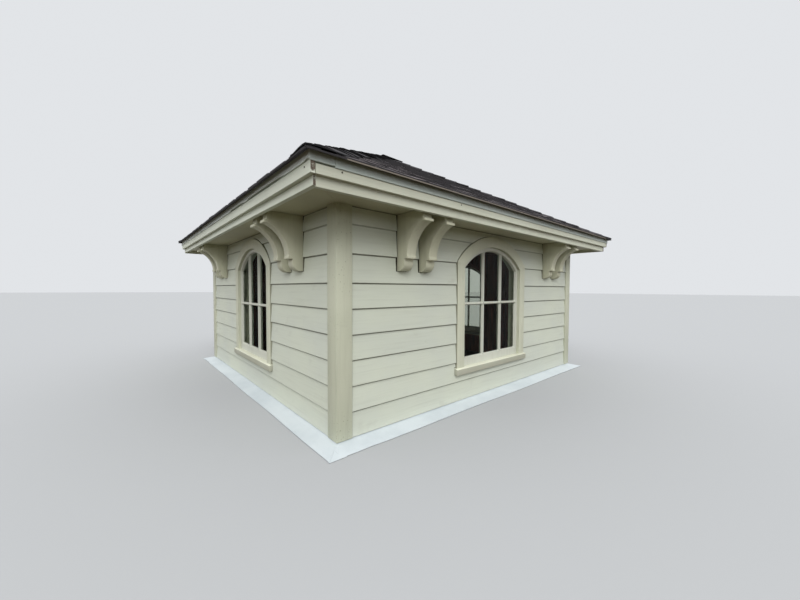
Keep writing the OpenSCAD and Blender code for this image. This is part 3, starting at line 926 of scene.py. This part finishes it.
def bracket_outline():
    """Distance and height round a bracket: its toe, lower bead, hollow, nose and flat top"""
    nose, waist = -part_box("front_brackets")[0].y, trim_half + WAIST_OUT
    tail, foot_z, waist_z = trim_half + TAIL_OUT, bracket_low, soffit_z - HOLLOW_DROP
    outline = [(sheath_half, foot_z)]
    for i in range(TOE_STEPS + 1):
        a = math.pi / 2 * i / TOE_STEPS
        outline.append((tail - TOE_R * (1 - math.sin(a)), foot_z + TOE_R * (1 - math.cos(a))))
    outline += [(tail, waist_z - NOSE_BEAD), (waist + NOSE_BEAD / 4, waist_z - NOSE_BEAD),
                (waist + NOSE_BEAD / 4, waist_z)]
    rise = math.acos((waist + HOLLOW_R - nose + NOSE_BEAD * 1.2) / HOLLOW_R)
    for i in range(HOLLOW_STEPS + 1):
        a = rise * i / HOLLOW_STEPS
        outline.append((waist + HOLLOW_R * (1 - math.cos(a)), waist_z + HOLLOW_R * math.sin(a)))
    bead_z = outline[-1][1]
    outline += [(nose, bead_z), (nose, bead_z + NOSE_BEAD), (nose - NOSE_BEAD, bead_z + NOSE_BEAD),
                (nose - NOSE_BEAD, bracket_top), (sheath_half, bracket_top)]
    return outline


for number, face in enumerate(FACES):
    draw = random.Random(50 + number)
    planks, joints = Stock(), Stock()
    for left, right in bracket_places(face):
        left, right = left + PLANED_OFF, right - PLANED_OFF
        planks.run(bracket_outline(), left, right, tone=draw.uniform(-0.8, 0.8))
        joints.run(joint_outline, left - JOINT_PROUD, right + JOINT_PROUD)
    piece = eased(planks.piece("pairs_of_" + face + "_brackets", number), PLANK_EASE)
    fit(piece, bracket_paint, "brackets", face + "_brackets")
    fit(joints.piece("joints_of_" + face + "_brackets", number), painted_joint_shade, "brackets")

# Soffit
# Thin boards under the eave, mitred at the corners, in a cream darker and yellower than the trim's, as
# painted shade under the eave.
MITRE_GAP = 0.0012
soffit_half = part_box("soffit")[1].x
soffit_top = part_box("soffit")[1].z
soffit_paint = painted_wood("soffit_paint", (192, 190, 164), (180, 178, 150), LEVEL_GRAIN,
                            worn=0.25, knots=0.2, mildew=0.3)
soffit_profile = [(sheath_half, soffit_z), (soffit_half, soffit_z), (soffit_half, soffit_top),
                  (sheath_half, soffit_top)]


def mitred(side, gap):
    """Ends a board at the corner's mitre, short of it by a gap"""
    return lambda r: side * (r - gap)


for number, (face, tone) in enumerate(zip(FACES, (-0.6, 0.4, 0.0, 0.5))):
    panel = Stock()
    panel.run(soffit_profile, mitred(-1, MITRE_GAP), mitred(1, MITRE_GAP), tone=tone)
    fit(panel.piece("soffit_" + face, number), soffit_paint, "soffit", "soffit")

# Fascias
# Two stepped boards round the eave. Those of the left and right faces run through to the corners, where
# they show brown end grain, and the others stop short between them.
ROOF_PITCH = 0.54
ARRIS = 0.002
WARP = 0.0006
FASCIA_BOW = 0.0005
EAVE_STATIONS = 120
THROUGH_SHORT = (0.001, 0.001)
BETWEEN_SHORT = (0.013, 0.004)
UPPER_BETWEEN_SHORT = (0.003, 0.002)
LEFT_LIFT = 0.006
LEFT_DRIP_LIFT = 0.010
END_DROP = 0.014
END_FACES = (0, 1)
lower_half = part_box("lower_fascia")[1].x
upper_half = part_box("upper_fascia")[1].x
low_z, high_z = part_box("lower_fascia")[0].z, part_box("lower_fascia")[1].z
step_z, drip_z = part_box("upper_fascia")[0].z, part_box("upper_fascia")[1].z
fascia_paint = painted_wood("fascia_paint", (202, 205, 188), (195, 197, 180), LEVEL_GRAIN,
                            worn=0.25, knots=0.15)
fresh_fascia_paint = painted_wood("fresh_fascia_paint", (216, 221, 206), (208, 213, 198), LEVEL_GRAIN,
                                  worn=0.2, knots=0.12)


def eave_profile(inner, outer, low, top, fall=0.0):
    """A board's profile with eased lower arrises, and a top that falls towards its face"""
    return [(inner, low), (outer - ARRIS, low), (outer - ARRIS * 0.3, low + ARRIS * 0.3),
            (outer, low + ARRIS), (outer, top - (outer - inner) * fall), (inner, top)]


def eave_board(stock, profile, ends, draw, bow, bare=(), rise=None):
    """One board along the eave, a little out of true. rise lifts its lower edge at a place along it."""
    waves = [(draw.uniform(0.8, 2.5), draw.uniform(0, 6.3)) for _ in range(2)]
    inner, low = profile[0]

    def sway(x, r, z):
        under = z < low + 0.01
        up = bow * math.sin(waves[0][0] * x + waves[0][1]) if under else 0.0
        up += rise(x) if rise and under else 0.0
        out = -WARP * (1 + math.sin(waves[1][0] * x + waves[1][1])) if r > inner + 0.001 else 0.0
        return out, up

    stock.run(profile, *ends, EAVE_STATIONS, sway, tone=draw.uniform(-0.8, 0.8), bare=bare)


def between(half, short):
    """The ends of a board that stops short of two corners"""
    return -half + short[0], half - short[1]


# The boards that run through have lower tops, by the roof's fall over their thickness, which lets their ends
# under the roof's boarding. Those of the left face sit higher and wear fresher paint.
for number, face in enumerate(FACES):
    draw = random.Random(60 + number)
    through, left = face in ("right", "left"), face == "left"
    paint = fresh_fascia_paint if left else fascia_paint
    bare = END_FACES if through else ()
    low, top = low_z + (LEFT_LIFT if left else 0.0), high_z - (END_DROP if through else 0.0)
    profile = eave_profile(soffit_half, lower_half, low, top, ROOF_PITCH)
    board = Stock()
    ends = between(lower_half, THROUGH_SHORT if through else BETWEEN_SHORT)
    eave_board(board, profile, ends, draw, FASCIA_BOW, bare)
    fit(board.piece("low_fascia_" + face, number), paint, "eave_trim", "lower_fascia")
    profile = eave_profile(lower_half, upper_half, step_z, drip_z + (LEFT_DRIP_LIFT if left else 0.0))
    board = Stock()
    ends = (-upper_half, upper_half) if through else between(lower_half, UPPER_BETWEEN_SHORT)
    eave_board(board, profile, ends, draw, FASCIA_BOW, bare)
    fit(board.piece("high_fascia_" + face, number), paint, "eave_trim", "upper_fascia")

# The heads of the nails that show at the near corner, sunk and rusty
RUSTY_HEAD = 0.0042
rusty = bare_timber("rusty_nail_heads", (74, 66, 54), (46, 40, 34), UPRIGHT_GRAIN)
for number, places in ((0, [(-1.627, 1.382), (-0.802, 1.381)]), (3, [(1.721, 1.384)])):
    places = [(x, -upper_half - 0.0002, z) for x, z in places]
    heads = nailed("fascia_nails_" + FACES[number], places, RUSTY_HEAD, rusty, number)
    fit(heads, rusty, "eave_trim")

# Drip board
# A board in cold grey-white paint that carries the shingles' edge. It stands on the upper fascia, with open
# gaps along the left face and a short length let in at the near end of the front.
FIRST_LENGTH = 1.665
BUTT_JOINT = 0.0012
FIRST_LIFT = 0.006
DRIP_JOINT = 0.0004
DRIP_BOW = 0.0004
GAP_RISE = 0.008
GAP_RAMP = 0.03
LEFT_GAPS = ((0.534, 0.848), (0.932, 1.502), (1.722, 1.79))
drip_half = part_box("drip_board")[1].x
drip_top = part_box("drip_board")[1].z
drip_paint = painted_wood("drip_board_paint", (186, 195, 190), (176, 186, 181), LEVEL_GRAIN,
                          worn=0.25, knots=0.1, dirt_and_shade=0.2)
# Lighter paint for the left face, as painted light against the shade under the shingles
lit_drip_paint = painted_wood("painted_light_drip_board_paint", (214, 222, 218), (206, 215, 210), LEVEL_GRAIN,
                                worn=0.2, knots=0.1, dirt_and_shade=0.1)
to_left, to_right = mitred(-1, DRIP_JOINT), mitred(1, DRIP_JOINT)


def left_gap(x):
    """The gap under the left face's drip board, which opens and closes over a few centimetres"""
    opened = max(min(x - start, end - x) / GAP_RAMP for start, end in LEFT_GAPS)
    return GAP_RISE * min(max(opened, 0.0), 1.0)


for number, face in enumerate(FACES):
    draw = random.Random(66 + number)
    left = face == "left"
    board = Stock()
    low = drip_z + (LEFT_DRIP_LIFT if left else 0.0) + DRIP_JOINT
    profile = eave_profile(lower_half, drip_half, low, drip_top, ROOF_PITCH)
    if face == "front":
        short = eave_profile(lower_half, drip_half, drip_z + FIRST_LIFT, drip_top, ROOF_PITCH)
        eave_board(board, short, (to_left, -FIRST_LENGTH), draw, 0.0)
        eave_board(board, profile, (-FIRST_LENGTH + BUTT_JOINT, to_right), draw, DRIP_BOW)
    else:
        eave_board(board, profile, (to_left, to_right), draw, DRIP_BOW, (), left_gap if left else None)
    # The left face's board takes the lighter paint, as painted light
    paint = lit_drip_paint if left else drip_paint
    fit(board.piece("drip_board_of_" + face, number), paint, "drip_board", "drip_board")

# Shingles
# Two-layer asphalt shingles over a starter strip: a full lower sheet in each course with irregular tabs
# bonded on it, nailed up the four slopes from the eave and cut along the hips. Cut edges and backs are black.
SHINGLE_EXPOSURE = 0.143
HIDDEN_LAP = 0.03
STARTER_T = 0.005
STARTER_END = 0.19
STARTER_W = 0.2
TAN_EDGE = 0.9
BASE_BUTT = 0.0065
BASE_TOP = 0.0035
TAB_T = 0.0038
BONDED_T = 0.0012
SHEET_UNDER = 0.003
TAB_UNDER = 0.0005
DECK_CLEAR = 0.0002
LEAST_T = 0.001
TAB_W = (0.09, 0.21)
SLOT_W = 0.07
TAB_TAPER = 0.012
TAB_UNEVEN = 0.004
CURLED = 0.12
CURL = 0.009
FLAT_CURL = 0.0035
CAP_COVER = 0.2
EAVE_COURSE_UP = 0.003
shingle_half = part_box("roof_shingles")[1].x
slope = math.atan(ROOF_PITCH)
deck_top = drip_top + lower_half * ROOF_PITCH
slope_len = shingle_half / math.cos(slope)


def granules(name, dark, mid, pale, asphalt):
    """Mineral granules in three mixed tones over asphalt, in blends that change from tab to tab"""
    finish = Finish(name, 0.92)
    grit = finish.noise((330.0, 330.0, 330.0), 2.0)
    blotch = finish.noise((11.0, 11.0, 11.0), 3.0)
    tone = finish.fade(finish.marked("tone"), -1.0, 1.0)
    base = finish.blend(dark, mid, finish.fade(finish.sum(tone, blotch), 0.5, 1.3))
    base = finish.blend(base, pale, finish.fade(grit, 0.55, 0.72, 0.0, 0.5))
    base = finish.blend(base, (26, 25, 27), finish.fade(grit, 0.45, 0.3, 0.0, 0.6))
    # On shingles the same mark gives the starter strip its tan edge
    base = finish.blend(base, (134, 126, 116), finish.marked("grime"))
    finish.colour(finish.blend(base, asphalt, finish.marked("bare")))
    finish.relief(grit, 0.0012, 0.8)
    return finish.material


def clipped(polygon, side):
    """A polygon of places along and up the slope, cut at the hip on one side"""
    def over(p):
        return side * p[0] - (shingle_half - p[1] * math.cos(slope) - 0.002)
    kept = []
    for a, b in zip(polygon, polygon[1:] + polygon[:1]):
        if over(a) <= 0:
            kept.append(a)
        if (over(a) < 0) != (over(b) < 0) and over(a) != over(b):
            t = over(a) / (over(a) - over(b))
            kept.append((a[0] + (b[0] - a[0]) * t, a[1] + (b[1] - a[1]) * t))
    return kept


def on_slope(u, v, w):
    """A point by its place along the eave, up the slope and above the deck"""
    r = shingle_half - v * math.cos(slope)
    return (u, -r, deck_top - r * ROOF_PITCH + w / math.cos(slope))


def sheet_on_slope(stock, polygon, under, over, tone, tan_edge=False):
    """A flat sheet clipped at both hips. under and over give its faces' heights above the deck. Its back and
    its cut edges are bare asphalt, unless its edge is tan."""
    outline = clipped(clipped(polygon, 1), -1)
    if len(outline) < 3:
        return
    count = len(outline)
    points = [on_slope(u, v, under(v)) for u, v in outline] + [on_slope(u, v, over(u, v)) for u, v in outline]
    if tan_edge:
        stock.bar(points, count, tone, [0], dict.fromkeys(range(count), TAN_EDGE))
    else:
        stock.bar(points, count, tone, [0, *range(2, count + 2)])


def starter_strip(stock, tan):
    """The strip under the first course, whose edge shows below the tabs. It is tan, or black asphalt, and
    black near the hips."""
    far, near = shingle_half, shingle_half - STARTER_END
    for start, end, tan_edge in ((-far, -near, False), (-near, near, tan), (near, far, False)):
        polygon = [(start, 0.0), (end, 0.0), (end, STARTER_W), (start, STARTER_W)]
        sheet_on_slope(stock, polygon, lambda v: DECK_CLEAR, lambda u, v: max(STARTER_T - 0.03 * v, LEAST_T),
                       -0.4, tan_edge)


def shingle_course(stock, v0, draw):
    """One course from hip to hip: its lower sheet, then tabs of drawn widths with curled lower corners. The
    tabs lie flat under the hip caps."""
    v1 = min(v0 + SHINGLE_EXPOSURE + HIDDEN_LAP, slope_len)
    half = shingle_half - v0 * math.cos(slope)
    taper = (BASE_BUTT - BASE_TOP) / SHINGLE_EXPOSURE

    def base(v):
        return max(BASE_BUTT - taper * (v - v0), LEAST_T)

    sheet = [(-half - 0.1, v0), (half + 0.1, v0), (half + 0.1, v1), (-half - 0.1, v1)]
    sheet_on_slope(stock, sheet, lambda v: max(base(v) - SHEET_UNDER, DECK_CLEAR), lambda u, v: base(v),
                   draw.uniform(-0.9, -0.2))
    u = -half - draw.uniform(0.0, 0.2)
    while u < half:
        width = draw.uniform(*TAB_W)
        curl = CURL if draw.random() < CURLED else FLAT_CURL
        lift = [draw.uniform(0.0, curl), draw.uniform(0.0, curl)]
        taper_in = draw.uniform(0.0, TAB_TAPER)
        start = v0 + draw.uniform(0.0, TAB_UNEVEN)
        tab = [(u, start), (u + width, start), (u + width - taper_in, v1), (u + taper_in, v1)]

        def over(x, v, u=u, width=width, lift=lift):
            share = min(max((x - u) / width, 0.0), 1.0)
            from_hip = shingle_half - v * math.cos(slope) - abs(x)
            held = min(max((from_hip - CAP_COVER) / CAP_COVER, 0.0), 1.0)
            up = (lift[0] * (1 - share) + lift[1] * share) * held
            near = max(0.0, 1 - (v - v0) / SHINGLE_EXPOSURE)
            return base(v) + BONDED_T + (TAB_T - BONDED_T + up) * near

        sheet_on_slope(stock, tab, lambda v: max(base(v) - TAB_UNDER, DECK_CLEAR), over, draw.uniform(-1, 1))
        u += width + draw.uniform(0.0, SLOT_W)


shingle_tones = ((58, 54, 58), (122, 113, 115), (166, 156, 155), (46, 44, 46))
shingle_grit = granules("shingle_granules", *shingle_tones)
for number, face in enumerate(FACES):
    draw = random.Random(80 + number)
    courses = Stock()
    starter_strip(courses, face in ("front", "back"))
    for i in range(int(slope_len / SHINGLE_EXPOSURE) + 1):
        shingle_course(courses, i * SHINGLE_EXPOSURE + (0.0 if i else EAVE_COURSE_UP), draw)
    fit(courses.piece("shingles_" + face, number), shingle_grit, "shingles", "roof_shingles")

# Hip caps
# Single shingles folded over each hip, lapped from the eave upwards, black and lumpy with age, and a
# square cap over the point where the four hips meet.
CAP_HALF = 0.13
CAP_DROOP = 0.45
CAP_LEN = 0.19
CAP_BASE = 0.017
CAP_BASE_TOP = 0.009
CAP_T = 0.005
FOLD_WEAR = 0.006
FOLD_HALF = 0.02
FIRST_CAP = 0.212
PAST_CORNER = 0.004
CAP_LIFT = 0.004
CAP_ASKEW = Vector((0.03, 0.016, 0.04))
CAP_SIZES = ((0.98, 0.94, 0.97), (1.03, 1.0, 1.06))
UNDER_PEAK = 0.06
PEAK_HALF = 0.15
PEAK_FALL = 0.47
PEAK_ROUND = 0.02
PEAK_T = 0.007
PEAK_TURN = 0.04
peak_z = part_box("hip_caps")[1].z - 0.0004
hip_angle = math.atan(ROOF_PITCH / math.sqrt(2))
hip_length = math.sqrt(2) * shingle_half / math.cos(hip_angle)


def cap_mesh():
    """One folded cap with X up the hip and Z away from the roof, its ridge on the X axis at the deck"""
    lateral = math.atan(math.cos(hip_angle) * ROOF_PITCH / math.sqrt(2))
    along = (0.0, 0.002, 0.06, 0.12, CAP_LEN)
    across = [part * CAP_HALF for part in (-1.0, -0.72, -0.4, -0.16, -0.05, 0.0, 0.05, 0.16, 0.4, 0.72, 1.0)]
    points = []
    for x in along:
        share = x / CAP_LEN
        under = CAP_BASE * (1 - share) + CAP_BASE_TOP * share
        over = under + CAP_T * (1 - 0.4 * share)
        for y, height in [(y, over) for y in across] + [(y, under) for y in reversed(across)]:
            worn = FOLD_WEAR * math.exp(-((y / FOLD_HALF) ** 2))
            lift = height - under * CAP_DROOP * (y / CAP_HALF) ** 2
            z = lift / math.cos(lateral) - abs(y) * math.sin(lateral) - worn
            points.append((x - CAP_LEN / 2, y * math.cos(lateral), z))
    count = 2 * len(across)
    black = [2 + i * count + j for i in range(len(along) - 1) for j in range(len(across) - 1, count)]
    cap = Stock()
    cap.bar(points, count, 0.0, [*END_FACES, *black])
    return cap.piece("one_cap")


def hip_tree():
    """Caps along one hip from the eave to the peak, each a little lifted and out of line"""
    inputs = {"Cap": "Object", "Count": "Int", "First": "Vector", "Step": "Vector", "Lift": "Vector",
              "Turn": "Vector", "Seed": "Int"}
    tree, given, add = new_tree("hip_caps_run", inputs)

    def drawn(kind, low, high):
        sockets = {low[0]: low[1], high[0]: high[1], "Seed": given["Seed"]}
        return add("FunctionNodeRandomValue", sockets, data_type=kind).outputs

    share = drawn("FLOAT", (2, 0.0), (3, 1.0))[1]
    rise = add("ShaderNodeVectorMath", {0: given["Lift"], "Scale": share}, operation="SCALE").outputs[0]
    lifted = add("GeometryNodeSetPosition", {"Geometry": spaced(given, add), "Offset": rise}).outputs[0]
    cap = add("GeometryNodeObjectInfo", {"Object": given["Cap"]}).outputs["Geometry"]
    askew = drawn("FLOAT_VECTOR", (0, -CAP_ASKEW), (1, CAP_ASKEW))[0]
    turn = add("ShaderNodeVectorMath", {0: given["Turn"], 1: askew}, operation="ADD").outputs[0]
    swollen = drawn("FLOAT_VECTOR", (0, CAP_SIZES[0]), (1, CAP_SIZES[1]))[0]
    return end_tree(tree, given, add, {"Points": lifted, "Instance": cap, "Rotation": turn, "Scale": swollen})


def trimmed_at_eaves(piece):
    """Cuts the lowest cap along the two eaves and closes its cut edge. Its faces near the corner are made the
    black of bare asphalt.
    """
    work = bmesh.new()
    work.from_mesh(piece.data)
    layer = work.faces.layers.float["bare"]
    for normal in (Vector((-1, 0, 0)), Vector((0, -1, 0))):
        parts = work.verts[:] + work.edges[:] + work.faces[:]
        cut_line = bmesh.ops.bisect_plane(work, geom=parts, plane_co=normal * shingle_half, plane_no=normal,
                                          clear_outer=True)
        rim = [e for e in cut_line["geom_cut"] if isinstance(e, bmesh.types.BMEdge)]
        for face in bmesh.ops.holes_fill(work, edges=rim)["faces"]:
            face[layer] = 1.0
    for face in work.faces:
        if -face.calc_center_median().x - face.calc_center_median().y > 2 * shingle_half - FIRST_CAP:
            face[layer] = 1.0
    work.to_mesh(piece.data)
    work.free()
    return piece


def peak_cap():
    """A square cap pressed down over the peak, with its four facets folded along the hips"""
    steps = [part * PEAK_HALF for part in (-1.0, -0.6, -0.2, 0.0, 0.2, 0.6, 1.0)]

    def height(x, y):
        reach = max(abs(x), abs(y))
        return peak_z - PEAK_FALL * math.sqrt(reach**2 + PEAK_ROUND**2) + PEAK_FALL * PEAK_ROUND

    points = []
    for y in steps:
        points += [(x, y, height(x, y)) for x in steps]
        points += [(x, y, height(x, y) - PEAK_T) for x in reversed(steps)]
    count = 2 * len(steps)
    edges = [2 + i * count + j for i in range(len(steps) - 1) for j in (len(steps) - 1, count - 1)]
    cap = Stock()
    cap.bar(points, count, -0.2, [*END_FACES, *edges])
    piece = cap.piece("peak_cap")
    piece.data.transform(Matrix.Rotation(PEAK_TURN, 4, "Z"))
    return piece


cap_tones = ((34, 33, 36), (64, 61, 64), (98, 93, 95), (22, 21, 23))
cap_grit = granules("hip_cap_granules", *cap_tones)
one_cap = cap_mesh()
level, plumb = math.cos(hip_angle) / math.sqrt(2), math.sin(hip_angle)
up_hip = Vector((level, level, plumb))
off_hip = Vector((-plumb / math.sqrt(2), -plumb / math.sqrt(2), math.cos(hip_angle)))
corner = Vector((-shingle_half, -shingle_half, deck_top - shingle_half * ROOF_PITCH))
cap_count = int((hip_length - UNDER_PEAK - CAP_LEN) / SHINGLE_EXPOSURE) + 1
caps = hip_tree()
for number, name in enumerate(("front_left", "front_right", "back_right", "back_left")):
    sizes = {"Cap": one_cap, "Count": cap_count, "First": corner + up_hip * (CAP_LEN / 2 - PAST_CORNER),
             "Step": up_hip * SHINGLE_EXPOSURE, "Lift": off_hip * CAP_LIFT,
             "Turn": (0.0, -hip_angle, math.pi / 4), "Seed": 5 + number}
    piece = trimmed_at_eaves(grown("hip_caps_" + name, caps, sizes, cap_grit))
    fit(smooth(turned(piece, number), 35), cap_grit, "hip_caps", "hip_caps")
bpy.data.objects.remove(one_cap)
fit(smooth(peak_cap(), 20), cap_grit, "hip_caps", "hip_caps")

# Floor, surroundings and lamp
# A pale floor that keeps the shadow and is dark brown inside the walls as painted shade, soft light from all
# # round, and a veiled lamp high before the near corner. What the eye, a gloss or a clear pane meets is pale;
# # what lights the walls from below is dark.
FLOOR_SIZE = 80.0
FLOOR_DROP = 0.002
ROOM_FADE = 0.02
ROUND_LIGHT = ((0.0, 1.15), (0.13, 1.1), (0.2, 0.85), (0.45, 0.85), (0.65, 1.1), (1.0, 0.3))
ROUND_SEEN = (0.76, 0.78, 0.805, 1.0)
SUN_LEVEL = 2.08
SUN_SPREAD = math.radians(42)
SUN_FROM = Vector((-0.47, -0.60, 0.647))


def seen_or_mirrored(add):
    """1 for the rays that show the surroundings themselves: seen, mirrored or through glass"""
    rays = add("ShaderNodeLightPath", {}).outputs
    seen = rays["Is Camera Ray"]
    for name in ("Is Glossy Ray", "Is Transmission Ray"):
        seen = add("ShaderNodeMath", {0: seen, 1: rays[name]}, operation="MAXIMUM").outputs[0]
    return seen


floor_mesh = bpy.data.meshes.new("floor")
corners = [(x * FLOOR_SIZE, y * FLOOR_SIZE, -FLOOR_DROP) for x, y in ((-1, -1), (1, -1), (1, 1), (-1, 1))]
floor_mesh.from_pydata(corners, [], [(0, 1, 2, 3)])
floor = stand("floor", floor_mesh)
finish = Finish("pale_floor", 0.9)
pale = finish.blend((74, 64, 45), (178, 180, 182), seen_or_mirrored(finish.add))
# Inside the walls the floor is dark brown, as painted shade in the closed room
outside = finish.fade(finish.reach(), room_half, room_half + ROOM_FADE)
finish.colour(finish.blend((40, 30, 24), pale, outside))
finish.shade("Specular IOR Level", 0.0)
coat(floor, finish.material)
floor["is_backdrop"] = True

world = bpy.data.worlds.new("overcast")
scene.world = world
world.use_nodes = True
around = world.node_tree
add = adder(around)
direction = add("ShaderNodeTexCoord", {}).outputs["Generated"]
height = add("ShaderNodeSeparateXYZ", {0: direction}).outputs["Z"]
ramp = add("ShaderNodeValToRGB", {0: height})
for place, light in ROUND_LIGHT:
    stop = ramp.color_ramp.elements.new(place)
    stop.color = (light, light * 1.01, light * 1.02, 1.0)
mix = add("ShaderNodeMix", {0: seen_or_mirrored(add), 6: ramp.outputs[0], 7: ROUND_SEEN}, data_type="RGBA")
give(around, around.nodes["Background"].inputs["Color"], mix.outputs[2])

lamp = bpy.data.lights.new("veiled_sun", "SUN")
lamp.energy = SUN_LEVEL
lamp.angle = SUN_SPREAD
sun = stand("veiled_sun", lamp)
sun.rotation_euler = (-SUN_FROM).to_track_quat("-Z", "Y").to_euler()
sun.visible_glossy = False

scene.view_settings.view_transform = "Standard"

low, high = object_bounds()
{"cad": [list(cad_low), list(cad_high)], "visual": [list(low), list(high)]}
